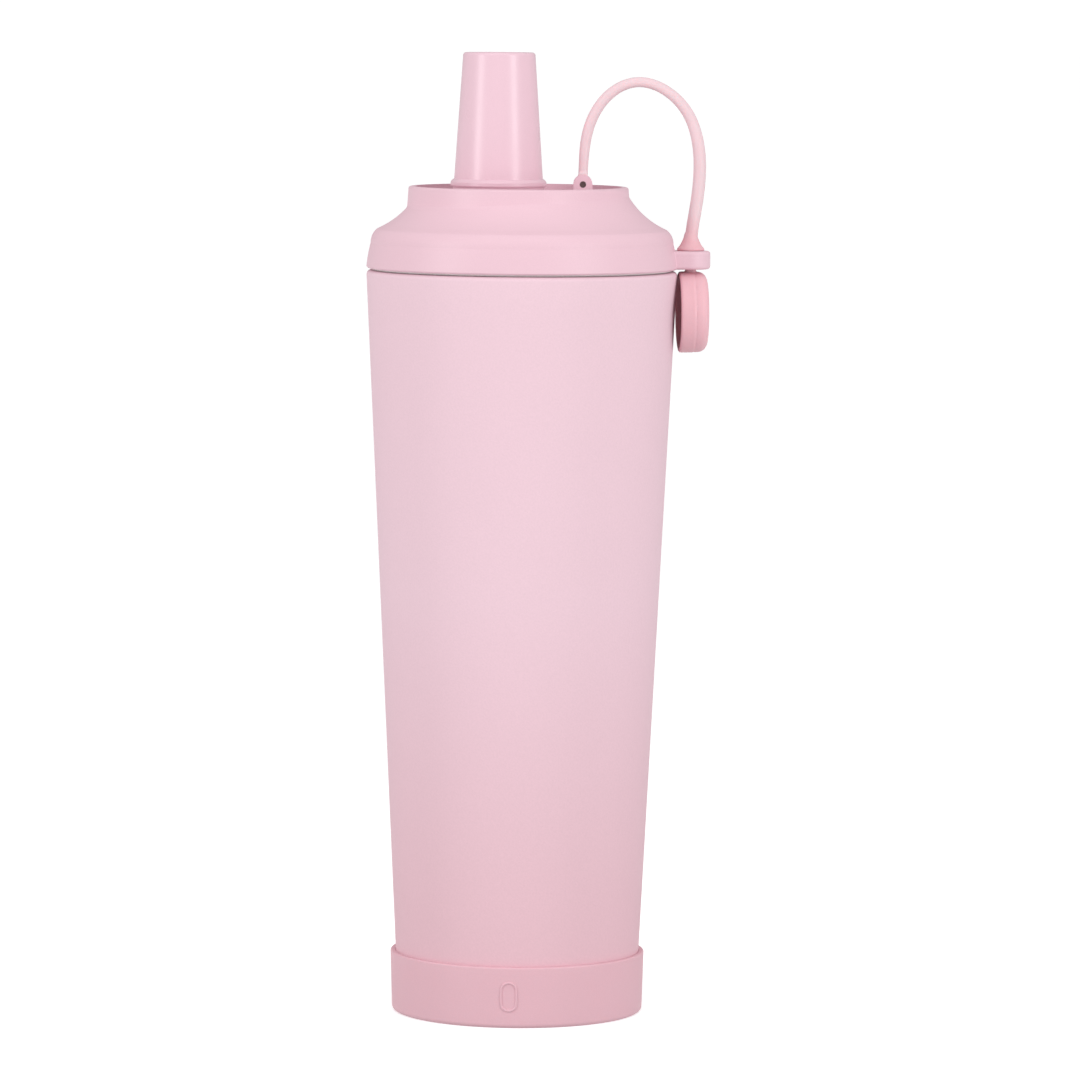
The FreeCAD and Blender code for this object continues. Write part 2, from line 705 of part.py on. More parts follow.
def spout_cap():
    """The soft cap, hanging on its neck with its open side towards the cup."""
    corner = (CAP_RADIUS - CAP_CORNER, CAP_DEPTH - CAP_CORNER)
    rim = (CAP_RADIUS - CAP_RIM_ROUND, CAP_RIM_ROUND)
    cavity = (CAP_CAVITY_RADIUS - CAP_CAVITY_CORNER, CAP_CAVITY_DEPTH - CAP_CAVITY_CORNER)
    dome_top = CAP_DEPTH + CAP_DOME
    dome_radius = (corner[0] ** 2 + CAP_DOME ** 2) / (2 * CAP_DOME)
    half_way = corner[0] / 2
    dome_fall = dome_radius - math.sqrt(dome_radius ** 2 - half_way ** 2)
    cup = turned(
        (CAP_CAVITY_RADIUS + 0.4, 0),
        (rim[0], 0),
        (corner_point(rim, CAP_RIM_ROUND, -45), (CAP_RADIUS, CAP_RIM_ROUND)),
        (CAP_RADIUS, corner[1]),
        (corner_point(corner, CAP_CORNER, 45), (corner[0], CAP_DEPTH)),
        ((half_way, dome_top - dome_fall), (0, dome_top)),
        (0, CAP_CAVITY_DEPTH),
        (cavity[0], CAP_CAVITY_DEPTH),
        (corner_point(cavity, CAP_CAVITY_CORNER, 45), (CAP_CAVITY_RADIUS, cavity[1])),
        (CAP_CAVITY_RADIUS, 0.4),
    )
    cup.rotate(Vector(0, 0, 0), Vector(0, 1, 0), 90 - CAP_TILT)
    cup.rotate(Vector(0, 0, 0), Vector(0, 0, 1), CAP_TWIST)
    cup.translate(Vector(CAP_OPEN_X, 0, CAP_CENTRE_Z))
    neck = block(
        (KEEPER_X - CAP_NECK_HALF_THICKNESS, -CAP_NECK_HALF_WIDTH, CAP_NECK_ROOT),
        (KEEPER_X + CAP_NECK_HALF_THICKNESS, CAP_NECK_HALF_WIDTH, CAP_HINGE_Z),
    )
    knuckle = cross_rod(CAP_NECK_HALF_THICKNESS, CAP_NECK_HALF_WIDTH, KEEPER_X, CAP_HINGE_Z)
    return cup.fuse([neck, knuckle]).removeSplitter()


PARTS = (
    outer_shell, inner_liner, outer_bottom, seal_bead, getter, bottom_cover, boot,
    mixing_grid, lid_gasket,
    lid_shell, lid_core, spout, spout_seal, spout_nut, tether_pin, tether_strap,
    spout_cap,
)

os.makedirs("parts", exist_ok=True)
for make in PARTS:
    shape = make()
    name = make.__name__
    box = shape.BoundBox
    print(f"{name}: valid {shape.isValid()}, solids {len(shape.Solids)}, {shape.Volume / 1000:.2f} cm3,",
          f"x {box.XMin:.1f}..{box.XMax:.1f}, y {box.YMin:.1f}..{box.YMax:.1f}, z {box.ZMin:.1f}..{box.ZMax:.1f}")
    shape.exportStep(f"parts/{name}.step")
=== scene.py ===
# %% [markdown]
# # A shaker bottle, piece by piece
# The object is an insulated steel tumbler in a pink powder coat. It has a moulded screw lid, an off-centre
# drinking spout, a silicone strap that carries the spout's cap, and a silicone boot. The measured model comes
# first. It fixes every place and size, so nothing below is ever fitted by eye.

import math

import bmesh
import bpy
from mathutils import Matrix, Quaternion, Vector


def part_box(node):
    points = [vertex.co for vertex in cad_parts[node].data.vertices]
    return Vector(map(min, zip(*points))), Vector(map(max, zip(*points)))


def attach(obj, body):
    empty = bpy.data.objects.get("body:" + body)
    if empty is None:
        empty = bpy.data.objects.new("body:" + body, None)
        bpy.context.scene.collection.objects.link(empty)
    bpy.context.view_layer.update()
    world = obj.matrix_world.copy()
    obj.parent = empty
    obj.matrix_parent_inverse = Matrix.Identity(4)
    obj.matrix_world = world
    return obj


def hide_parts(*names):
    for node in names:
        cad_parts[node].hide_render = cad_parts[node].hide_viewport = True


MM = 0.001
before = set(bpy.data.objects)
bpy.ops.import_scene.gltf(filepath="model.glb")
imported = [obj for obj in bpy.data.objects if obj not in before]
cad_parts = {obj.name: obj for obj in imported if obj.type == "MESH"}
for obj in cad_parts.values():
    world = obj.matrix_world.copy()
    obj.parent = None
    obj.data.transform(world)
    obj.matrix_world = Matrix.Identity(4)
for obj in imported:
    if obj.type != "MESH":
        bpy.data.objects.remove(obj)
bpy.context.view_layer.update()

# %% [markdown]
# ## The camera
# A product picture is taken from far away with a long lens, so the bottle's sides stay almost parallel. The
# camera stands a little above the lid and looks slightly down, which is why the lip of the boot and the seam
# under the lid read as shallow curves. It comes first, because it decides what has to be right.

# %% Stand the camera in front of the bottle
CAMERA_PLACE = Vector((5.7, -1786.0, 290.0)) * MM
CAMERA_PITCH = -4.97           # degrees below the horizon
CAMERA_ROLL = 0.42             # degrees, the tripod was not quite level
LENS_MM = 210.0

camera_data = bpy.data.cameras.new("camera")
camera_data.lens = LENS_MM
camera_data.sensor_width = 36.0
camera_data.clip_start = 0.1
camera_data.clip_end = 50.0
camera = bpy.data.objects.new("camera", camera_data)
bpy.context.collection.objects.link(camera)
tilt = Quaternion((1, 0, 0), math.radians(90 + CAMERA_PITCH))
roll = Quaternion((0, 0, 1), math.radians(CAMERA_ROLL))
camera.rotation_mode = "QUATERNION"
camera.rotation_quaternion = tilt @ roll
camera.location = CAMERA_PLACE
bpy.context.scene.camera = camera
print("camera to bottle, mm:", round(CAMERA_PLACE.length / MM))

# %% [markdown]
# ## A helper for node trees
# Geometry and shader trees are both nodes with sockets. One small function adds a node, fills its sockets by
# name or number, and draws a link wherever the value is another node's output. It keeps each tree short.


# %% Add one node to any tree
def put(tree, kind, sockets=None, **settings):
    """Adds a node, sets its options, then fills or links the sockets that are given."""
    node = tree.nodes.new(kind)
    for option, value in settings.items():
        setattr(node, option, value)
    for key, value in (sockets or {}).items():
        if isinstance(value, bpy.types.NodeSocket):
            tree.links.new(value, node.inputs[key])
        else:
            node.inputs[key].default_value = value
    return node


def new_tree(name, sizes):
    """A geometry tree with one geometry in and out, a material input, and the named size inputs."""
    tree = bpy.data.node_groups.new(name, "GeometryNodeTree")
    tree.interface.new_socket("Geometry", in_out="INPUT", socket_type="NodeSocketGeometry")
    tree.interface.new_socket("Geometry", in_out="OUTPUT", socket_type="NodeSocketGeometry")
    tree.interface.new_socket("Finish", in_out="INPUT", socket_type="NodeSocketMaterial")
    for size, socket_type in sizes.items():
        tree.interface.new_socket(size, in_out="INPUT", socket_type=socket_type)
    return tree


def close_tree(tree, source, geometry):
    """Ends a tree: real geometry instead of instances, one finish, then the output."""
    real = put(tree, "GeometryNodeRealizeInstances", {"Geometry": geometry})
    done = put(
        tree,
        "GeometryNodeSetMaterial",
        {"Geometry": real.outputs["Geometry"], "Material": source.outputs["Finish"]},
    )
    put(tree, "NodeGroupOutput", {"Geometry": done.outputs["Geometry"]})


# %% [markdown]
# ## From a live tree to a plain mesh
# A tree on a modifier is worked out again whenever the scene changes. A finished piece should be a plain mesh
# instead, so the result is copied once and the helper object is thrown away. Doubles are merged and the
# faces are turned outwards here too, because a spun outline has a seam and may come out inside out.


# %% Bake a helper object into a finished mesh
WELD_DISTANCE = 0.001 * MM     # points closer than this are one point
SOFT_EDGES = 80.0              # degrees, for pieces that have no real edges


def bake(helper, tree, finish, **sizes):
    """Runs the tree on the helper and returns a closed mesh with its faces outwards."""
    modifier = helper.modifiers.new("shape", "NODES")
    modifier.node_group = tree
    ids = {item.name: item.identifier for item in tree.interface.items_tree if item.in_out == "INPUT"}
    modifier[ids["Finish"]] = finish
    for size, value in sizes.items():
        modifier[ids[size.replace("_", " ")]] = value
    graph = bpy.context.evaluated_depsgraph_get()
    mesh = bpy.data.meshes.new_from_object(helper.evaluated_get(graph))
    bpy.data.objects.remove(helper)
    shape = bmesh.new()
    shape.from_mesh(mesh)
    bmesh.ops.remove_doubles(shape, verts=shape.verts, dist=WELD_DISTANCE)
    bmesh.ops.recalc_face_normals(shape, faces=shape.faces)
    shape.to_mesh(mesh)
    shape.free()
    mesh.materials.clear()
    mesh.materials.append(finish)
    mesh.polygons.foreach_set("material_index", [0] * len(mesh.polygons))
    return mesh


def finished(name, mesh, sharp_degrees=35.0):
    """Puts a finished mesh in the scene at the origin, smooth, with its real edges kept sharp."""
    mesh.name = name
    mesh.shade_smooth()
    mesh.set_sharp_from_angle(angle=math.radians(sharp_degrees))
    piece = bpy.data.objects.new(name, mesh)
    bpy.context.collection.objects.link(piece)
    print(name, len(mesh.polygons), "faces")
    return piece


# %% [markdown]
# ## Finishes
# Every finish is worked out from the object's own coordinates in metres, so its grain has a real size: half
# a millimetre of orange peel in the powder coat, about a third of a millimetre in the moulded parts. One
# function serves the painted and moulded surfaces, because they differ only in their numbers. It mixes a slow
# change of tone, a fine grain in the colour, an uneven gloss, and a bump. A finish may also carry painted
# shade, a darker tint that grows towards a height. The coat gets it towards the foot, where the light falls
# off, and the strap gets it at its flare, which sits in shade at the keeper tab. Values that are the same all
# over are set on the shader itself.


# %% The painted and moulded finishes
TONE_MM = 22                   # size of the slow change of tone
WIPE_MM = 9                    # size of the patches of uneven gloss
GLOSS_SPREAD = 0.03
SPECK_DARK = 0.975
SPECK_LIGHT = 1.02
BUMP_STRENGTH = 0.6
NOISE_LOW = 0.3                # nearly all of a noise lies between these two
NOISE_HIGH = 0.7


def shade(colour, factor):
    """The same colour, lighter or darker."""
    return tuple(min(1.0, channel * factor) for channel in colour) + (1.0,)


def moulded(name, colour, roughness, grain_mm, grain_depth_mm, mottle=0.02, painted_shade=None, **shader):
    """A coloured finish with a slow mottle, a fine grain, an uneven gloss and a bump, all in real sizes.

    `painted_shade` is painted shade: a darker tint, the height in mm where it sets in and the height where it
    is full.
    """
    material = bpy.data.materials.new(name)
    material.use_nodes = True
    tree = material.node_tree
    tree.nodes.clear()
    place = put(tree, "ShaderNodeTexCoord").outputs["Object"]
    slow = put(
        tree,
        "ShaderNodeTexNoise",
        {"Vector": place, "Scale": 1 / (TONE_MM * MM), "Detail": 3.0, "Roughness": 0.55},
    )
    fine = put(
        tree,
        "ShaderNodeTexNoise",
        {"Vector": place, "Scale": 1 / (grain_mm * MM), "Detail": 2.0, "Roughness": 0.6},
    )
    tone = put(
        tree,
        "ShaderNodeMixRGB",
        {
            "Fac": slow.outputs["Fac"],
            "Color1": shade(colour, 1 - mottle),
            "Color2": shade(colour, 1 + mottle),
        },
    )
    speck = put(
        tree,
        "ShaderNodeMapRange",
        {
            "Value": fine.outputs["Fac"],
            "From Min": NOISE_LOW,
            "From Max": NOISE_HIGH,
            "To Min": SPECK_DARK,
            "To Max": SPECK_LIGHT,
        },
    )
    grained = put(
        tree,
        "ShaderNodeMixRGB",
        {"Fac": 1.0, "Color1": tone.outputs["Color"], "Color2": speck.outputs["Result"]},
    )
    grained.blend_type = "MULTIPLY"
    coloured = grained.outputs["Color"]
    # Painted shade: the colour is multiplied by a darker tint that grows towards the given height.
    if painted_shade:
        height = put(tree, "ShaderNodeSeparateXYZ", {"Vector": place}).outputs["Z"]
        tint, start, full = painted_shade
        share = put(
            tree, "ShaderNodeMapRange", {"Value": height, "From Min": start * MM, "From Max": full * MM}
        )
        tinted = put(
            tree,
            "ShaderNodeMixRGB",
            {"Fac": share.outputs["Result"], "Color1": coloured, "Color2": shade(tint, 1)},
        )
        tinted.blend_type = "MULTIPLY"
        coloured = tinted.outputs["Color"]
    wiped = put(
        tree, "ShaderNodeTexNoise", {"Vector": place, "Scale": 1 / (WIPE_MM * MM), "Detail": 4.0}
    )
    gloss = put(
        tree,
        "ShaderNodeMapRange",
        {
            "Value": wiped.outputs["Fac"],
            "From Min": NOISE_LOW,
            "From Max": NOISE_HIGH,
            "To Min": roughness - GLOSS_SPREAD,
            "To Max": roughness + GLOSS_SPREAD,
        },
    )
    bump = put(
        tree,
        "ShaderNodeBump",
        {"Height": fine.outputs["Fac"], "Strength": BUMP_STRENGTH, "Distance": grain_depth_mm * MM},
    )
    surface = put(
        tree,
        "ShaderNodeBsdfPrincipled",
        {
            "Base Color": coloured,
            "Roughness": gloss.outputs["Result"],
            "Normal": bump.outputs["Normal"],
        },
    )
    for socket, value in shader.items():
        surface.inputs[socket.replace("_", " ")].default_value = value
    put(tree, "ShaderNodeOutputMaterial", {"Surface": surface.outputs["BSDF"]})
    return material


SILICONE_RADIUS = (1.0, 0.45, 0.4)

# The coat's tint, growing from 120 mm down to 20 mm, is painted shade: the cup darkens towards the foot.
powder_coat = moulded(
    "powder_coat", (0.800, 0.575, 0.645), 0.55, 0.55, 0.05, mottle=0.012,
    painted_shade=((0.945, 0.85, 0.85), 120, 20), Specular_IOR_Level=0.12,
)
lid_plastic = moulded(
    "lid_plastic", (0.770, 0.520, 0.592), 0.44, 0.30, 0.02, mottle=0.012, Specular_IOR_Level=0.35
)
core_plastic = moulded("core_plastic", (0.815, 0.565, 0.630), 0.40, 0.30, 0.02)
grid_plastic = moulded("grid_plastic", (0.800, 0.550, 0.615), 0.38, 0.30, 0.02)
spout_plastic = moulded("spout_plastic", (0.795, 0.543, 0.620), 0.30, 0.22, 0.008, mottle=0.010)
boot_silicone = moulded(
    "boot_silicone", (0.722, 0.433, 0.493), 0.58, 0.35, 0.03, mottle=0.02,
    Subsurface_Weight=0.08, Subsurface_Radius=SILICONE_RADIUS, Subsurface_Scale=0.8 * MM,
)
# The strap's tint, growing from 228 mm down to 220 mm, is painted shade on the lower leg and flare at the
# keeper tab.
strap_silicone = moulded(
    "strap_silicone", (0.790, 0.590, 0.625), 0.50, 0.30, 0.02, mottle=0.02,
    painted_shade=((0.98, 0.75, 0.78), 228, 220),
    Subsurface_Weight=0.20, Subsurface_Radius=SILICONE_RADIUS, Subsurface_Scale=1.2 * MM,
)
cap_silicone = moulded(
    "cap_silicone", (0.820, 0.472, 0.525), 0.52, 0.30, 0.02, mottle=0.02,
    Subsurface_Weight=0.15, Subsurface_Radius=SILICONE_RADIUS, Subsurface_Scale=1.2 * MM,
)
seal_silicone = moulded(
    "seal_silicone", (0.800, 0.770, 0.750), 0.45, 0.25, 0.015,
    Subsurface_Weight=0.30, Subsurface_Radius=(1.0, 0.9, 0.8), Subsurface_Scale=1.0 * MM,
)
glass_bead = moulded(
    "glass_bead", (0.450, 0.400, 0.350), 0.12, 0.60, 0.03, mottle=0.10, Transmission_Weight=0.4, IOR=1.52
)
# A real steel pin, coloured near-black and pinkish as painted shade in the hole of the eyelet.
pin_steel_painted_shade = moulded("pin_steel_painted_shade", (0.150, 0.105, 0.105), 0.42, 0.20, 0.01, mottle=0.05, Metallic=0.6)
getter_metal = moulded("getter_metal", (0.450, 0.450, 0.470), 0.45, 0.20, 0.05, mottle=0.08, Metallic=0.9)
print("moulded finishes:", len(bpy.data.materials))

# %% [markdown]
# ### Turned steel
# The liner and the base are spun on a lathe and brushed while they turn, so the scratches run round the
# axis. The pattern is read from the distance to the axis, the height and the angle: it changes fast across
# the scratches and slowly along them, on walls and floors alike.


# %% The brushed steel finish
SCRATCH_MM = 0.15              # distance from one scratch to the next
SCRATCH_STRETCH_MM = 2         # how far the pattern advances for each radian round the axis
STAIN_MM = 14
STEEL_GLOSSY = 0.24
STEEL_DULL = 0.42
STEEL_METALLIC = 0.75          # the blasted inside of a bottle is duller than bare metal


def brushed_steel():
    """Steel with fine scratches that run round the bottle's axis."""
    material = bpy.data.materials.new("brushed_steel")
    material.use_nodes = True
    tree = material.node_tree
    tree.nodes.clear()
    place = put(tree, "ShaderNodeTexCoord").outputs["Object"]
    parts = put(tree, "ShaderNodeSeparateXYZ", {"Vector": place})
    flat = put(tree, "ShaderNodeCombineXYZ", {"X": parts.outputs["X"], "Y": parts.outputs["Y"]})
    distance = put(tree, "ShaderNodeVectorMath", {0: flat.outputs["Vector"]}, operation="LENGTH")
    angle = put(tree, "ShaderNodeMath", {0: parts.outputs["Y"], 1: parts.outputs["X"]}, operation="ARCTAN2")
    turns = put(
        tree, "ShaderNodeMath", {0: angle.outputs[0], 1: SCRATCH_STRETCH_MM * MM}, operation="MULTIPLY"
    )
    around = put(
        tree,
        "ShaderNodeCombineXYZ",
        {"X": distance.outputs["Value"], "Y": turns.outputs[0], "Z": parts.outputs["Z"]},
    )
    scratch = put(
        tree,
        "ShaderNodeTexNoise",
        {"Vector": around.outputs["Vector"], "Scale": 1 / (SCRATCH_MM * MM), "Detail": 4.0, "Roughness": 0.7},
    )
    stain = put(tree, "ShaderNodeTexNoise", {"Vector": place, "Scale": 1 / (STAIN_MM * MM), "Detail": 3.0})
    tone = put(
        tree,
        "ShaderNodeMixRGB",
        {
            "Fac": stain.outputs["Fac"],
            "Color1": (0.74, 0.74, 0.745, 1.0),
            "Color2": (0.82, 0.82, 0.815, 1.0),
        },
    )
    gloss = put(
        tree,
        "ShaderNodeMapRange",
        {
            "Value": scratch.outputs["Fac"],
            "From Min": NOISE_LOW,
            "From Max": NOISE_HIGH,
            "To Min": STEEL_GLOSSY,
            "To Max": STEEL_DULL,
        },
    )
    bump = put(
        tree, "ShaderNodeBump", {"Height": scratch.outputs["Fac"], "Strength": 0.35, "Distance": 0.01 * MM}
    )
    surface = put(
        tree,
        "ShaderNodeBsdfPrincipled",
        {
            "Base Color": tone.outputs["Color"],
            "Metallic": STEEL_METALLIC,
            "Roughness": gloss.outputs["Result"],
            "Normal": bump.outputs["Normal"],
        },
    )
    put(tree, "ShaderNodeOutputMaterial", {"Surface": surface.outputs["BSDF"]})
    return material


bare_steel = brushed_steel()
print("finishes in all:", len(bpy.data.materials))

# %% [markdown]
# ## The lathe
# The cup, the boot, the grid's rim, the strap's flare and the spout cap are all turned shapes, so one rule
# makes them: take an outline, repeat it round the axis, and join the copies. In the tree a flat grid has one
# column for each point of the outline and one row for each step round the axis. Every grid point looks up
# its outline point and turns it by its own share of a full turn. A Screw modifier could do this too. The
# tree is used because its inputs have names, and because it also closes the seam and the poles.


# %% Build the lathe tree
def build_lathe():
    """Turns the input outline, in the XZ plane, round the Z axis."""
    tree = new_tree("lathe", {"Segments": "NodeSocketInt"})
    source = put(tree, "NodeGroupInput")
    outline = source.outputs["Geometry"]
    points = put(tree, "GeometryNodeAttributeDomainSize", {"Geometry": outline}, component="MESH")
    rows = put(tree, "ShaderNodeMath", {0: source.outputs["Segments"], 1: 1.0}, operation="ADD")
    grid = put(
        tree,
        "GeometryNodeMeshGrid",
        {"Vertices X": points.outputs["Point Count"], "Vertices Y": rows.outputs[0]},
    )
    index = put(tree, "GeometryNodeInputIndex").outputs[0]
    column = put(tree, "ShaderNodeMath", {0: index, 1: rows.outputs[0]}, operation="DIVIDE")
    column = put(tree, "ShaderNodeMath", {0: column.outputs[0]}, operation="FLOOR")
    row = put(tree, "ShaderNodeMath", {0: index, 1: rows.outputs[0]}, operation="MODULO")
    share = put(
        tree, "ShaderNodeMath", {0: row.outputs[0], 1: source.outputs["Segments"]}, operation="DIVIDE"
    )
    angle = put(tree, "ShaderNodeMath", {0: share.outputs[0], 1: 2 * math.pi}, operation="MULTIPLY")
    looked_up = put(tree, "GeometryNodeSampleIndex", data_type="FLOAT_VECTOR", domain="POINT")
    tree.links.new(outline, looked_up.inputs["Geometry"])
    tree.links.new(put(tree, "GeometryNodeInputPosition").outputs[0], looked_up.inputs["Value"])
    tree.links.new(column.outputs[0], looked_up.inputs["Index"])
    turned = put(tree, "ShaderNodeVectorRotate", rotation_type="Z_AXIS")
    tree.links.new(looked_up.outputs["Value"], turned.inputs["Vector"])
    tree.links.new(angle.outputs[0], turned.inputs["Angle"])
    placed = put(
        tree,
        "GeometryNodeSetPosition",
        {"Geometry": grid.outputs["Mesh"], "Position": turned.outputs["Vector"]},
    )
    merged = put(
        tree,
        "GeometryNodeMergeByDistance",
        {"Geometry": placed.outputs["Geometry"], "Distance": WELD_DISTANCE},
    )
    close_tree(tree, source, merged.outputs["Geometry"])
    return tree


lathe = build_lathe()
print("lathe tree:", len(lathe.nodes), "nodes")

# %% [markdown]
# ### Outlines with rounded corners
# Nothing moulded or pressed has a knife edge. An outline is therefore a list of corners, each with a radius,
# and the helper turns every corner into a short arc. Long straight runs are divided, so that the faces stay
# reasonably square.

# %% Round the corners of an outline
ARC_STEPS = 6


def rounded(corners, longest=9.0):
    """Points in mm along an outline of (distance from the axis, height, corner radius)."""
    points = []
    for number, (reach, height, radius) in enumerate(corners):
        here = Vector((reach, height))
        if radius == 0:
            points.append(here)
            continue
        before = (Vector(corners[number - 1][:2]) - here).normalized()
        after = (Vector(corners[(number + 1) % len(corners)][:2]) - here).normalized()
        half = before.angle(after) / 2
        centre = here + (before + after).normalized() * radius / math.sin(half)
        start = here + before * radius / math.tan(half) - centre
        end = here + after * radius / math.tan(half) - centre
        for step in range(ARC_STEPS + 1):
            points.append(centre + start.lerp(end, step / ARC_STEPS).normalized() * radius)
    divided = [points[0]]
    for point in points[1:]:
        gap = point - divided[-1]
        pieces = math.ceil(gap.length / longest)
        last = divided[-1]
        divided.extend(last + gap * step / pieces for step in range(1, pieces + 1))
    return divided


def turn(points, finish, segments=192):
    """Runs the lathe on an outline in mm and returns the mesh."""
    outline = bpy.data.meshes.new("outline")
    corners = [(point.x * MM, 0.0, point.y * MM) for point in points]
    outline.from_pydata(corners, [(n, n + 1) for n in range(len(corners) - 1)], [])
    helper = bpy.data.objects.new("outline", outline)
    bpy.context.collection.objects.link(helper)
    return bake(helper, lathe, finish, Segments=segments)


def ring(corners):
    """A closed outline: the first corner comes again at the end."""
    points = rounded(corners)
    return points + [points[0]]


# %% [markdown]
# ## The coated cup
# On the real bottle the outer wall is drawn from half-millimetre steel, tapered, curled over at the lip and
# welded to the liner, then coated. Its shape follows one rule, a straight cone, so it comes from the lathe.
# The outline goes up the outside, round the curled lip, and back down the inside.

# %% Turn the coated outer wall
_, shell_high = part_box("outer_shell")
LIP_TOP = shell_high.z / MM
CONE_FOOT = 33.87
CONE_SLOPE = 0.0484
SHELL_FOOT = 3.0
SHELL_WALL = 0.5
LIP_ROUND = 1.2
LIP_INNER = 42.0


def cone(height):
    """The cup's outer radius at a height, in mm."""
    return CONE_FOOT + CONE_SLOPE * height


shell_outline = ring([
    (cone(SHELL_FOOT) - SHELL_WALL, SHELL_FOOT, 0.15),
    (cone(SHELL_FOOT), SHELL_FOOT, 0.15),
    (cone(LIP_TOP), LIP_TOP, LIP_ROUND),
    (LIP_INNER, LIP_TOP, 0.0),
    (LIP_INNER, LIP_TOP - SHELL_WALL, 0.0),
    (cone(LIP_TOP) - SHELL_WALL, LIP_TOP - SHELL_WALL, LIP_ROUND - SHELL_WALL),
])
coated_cup = finished("coated_cup", turn(shell_outline, powder_coat, 256))
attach(coated_cup, "cup")
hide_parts("outer_shell")

# %% [markdown]
# ## The boot
# The boot is a silicone cup that is pulled over the foot. It keeps the steel from ringing on a table. Its
# wall stands slightly proud of the coat, its top edge is softly rounded, and three grooves under it let it
# grip. All of that is still one turned outline, so the lathe makes it in one closed piece.

# %% Turn the silicone boot
_, boot_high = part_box("boot")
BOOT_TOP = boot_high.z / MM
BOOT_TOP_RADIUS = 36.2
BOOT_FOOT_RADIUS = 35.7
BOOT_FLOOR = 2.4
BOOT_FIT = 0.05
GRIP_GROOVES = (12.0, 19.0, 26.0)
GROOVE_WIDTH = 1.6
GROOVE_DEPTH = 0.6
GROOVE_DRAFT = 0.1
GROOVE_ROUND = 0.12

boot_corners = [(0.0, 0.0, 0.0)]
for groove in GRIP_GROOVES:
    boot_corners += [
        (groove, 0.0, GROOVE_ROUND),
        (groove + GROOVE_DRAFT, GROOVE_DEPTH, GROOVE_ROUND),
        (groove + GROOVE_WIDTH - GROOVE_DRAFT, GROOVE_DEPTH, GROOVE_ROUND),
        (groove + GROOVE_WIDTH, 0.0, GROOVE_ROUND),
    ]
boot_corners += [
    (BOOT_FOOT_RADIUS, 0.0, 1.3),
    (BOOT_TOP_RADIUS, BOOT_TOP, 0.5),
    (cone(BOOT_TOP) + BOOT_FIT, BOOT_TOP, 0.2),
    (cone(BOOT_FLOOR) + BOOT_FIT, BOOT_FLOOR, 0.4),
    (0.0, BOOT_FLOOR, 0.0),
]
boot_sleeve = finished("boot_sleeve", turn(rounded(boot_corners, 5.0), boot_silicone, 224))
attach(boot_sleeve, "cup")
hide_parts("boot")

# %% [markdown]
# ## Tubes that change thickness
# Two pieces follow a line: the raised mark on the boot and the strap over the lid. A curve with a radius at
# each of its points, swept with a round profile, makes both. The tree spaces the points evenly first, so the
# sweep has no long and short faces, and reads each point's radius as the sweep's scale.


# %% Build the tube tree
def build_tube():
    """Sweeps a circle along the input curve; the curve's own radius is the tube's."""
    tree = new_tree(
        "tube", {"Step": "NodeSocketFloat", "Sides": "NodeSocketInt", "Ends closed": "NodeSocketBool"}
    )
    source = put(tree, "NodeGroupInput")
    even = put(
        tree,
        "GeometryNodeResampleCurve",
        {"Curve": source.outputs["Geometry"], "Length": source.outputs["Step"]},
        mode="LENGTH",
    )
    profile = put(
        tree, "GeometryNodeCurvePrimitiveCircle", {"Resolution": source.outputs["Sides"], "Radius": 1.0}
    )
    radius = put(tree, "GeometryNodeInputRadius").outputs[0]
    swept = put(
        tree,
        "GeometryNodeCurveToMesh",
        {
            "Curve": even.outputs["Curve"],
            "Profile Curve": profile.outputs["Curve"],
            "Scale": radius,
            "Fill Caps": source.outputs["Ends closed"],
        },
    )
    close_tree(tree, source, swept.outputs["Mesh"])
    return tree


tube = build_tube()


def sweep(points, finish, step, closed=False, sides=24):
    """A tube along (x, y, z, radius) points in mm, as a mesh."""
    line = bpy.data.curves.new("line", "CURVE")
    line.dimensions = "3D"
    spline = line.splines.new("NURBS")
    spline.points.add(len(points) - 1)
    for control, (x, y, z, radius) in zip(spline.points, points):
        control.co = (x * MM, y * MM, z * MM, 1.0)
        control.radius = radius * MM
    spline.order_u = 4
    spline.resolution_u = 12
    spline.use_cyclic_u = closed
    spline.use_endpoint_u = not closed
    helper = bpy.data.objects.new("line", line)
    bpy.context.collection.objects.link(helper)
    return bake(helper, tube, finish, Step=step * MM, Sides=sides, Ends_closed=not closed)


# %% [markdown]
# ### The raised mark
# A soft outline stands a third of a millimetre proud at the front of the boot. It is a plain upright capsule
# here. Its line is laid on the boot's own cone: each point is given as a distance round the boot and a
# height, and the boot's radius at that height places it.

# %% Sweep the raised mark on the boot
MARK_HALF_WIDTH = 2.2
MARK_HALF_STRAIGHT = 1.8
MARK_CENTRE = 9.0
MARK_TURN = -3.5               # degrees round the axis from the front
MARK_LINE = 0.40
MARK_PROUD = 0.33
MARK_POINTS = 24


def boot_radius(height):
    """The boot's outer radius at a height, in mm."""
    return BOOT_FOOT_RADIUS + (BOOT_TOP_RADIUS - BOOT_FOOT_RADIUS) * height / BOOT_TOP


mark_line = []
for step in range(MARK_POINTS):
    turned = 2 * math.pi * step / MARK_POINTS
    side = math.cos(turned) * MARK_HALF_WIDTH
    height = MARK_CENTRE + math.sin(turned) * MARK_HALF_WIDTH
    if step % (MARK_POINTS // 2):
        height += math.copysign(MARK_HALF_STRAIGHT, math.sin(turned))
    reach = boot_radius(height) + MARK_PROUD - MARK_LINE
    angle = math.radians(MARK_TURN) + side / reach
    mark_line.append((reach * math.sin(angle), -reach * math.cos(angle), height, MARK_LINE))
mark_mesh = sweep(mark_line, boot_silicone, 0.25, closed=True, sides=16)
boot_mark = finished("boot_mark", mark_mesh, SOFT_EDGES)
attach(boot_mark, "cup")
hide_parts("boot")

# %% [markdown]
# ## One moulding from several shapes
# The strap and the spout cap are each one piece of silicone, though their shapes are easiest to build as a
# few overlapping ones. A voxel remesh makes them one skin, as pouring into one mould does, and a few rounds
# of smoothing give the small fillets that a mould maker cuts wherever two shapes meet.


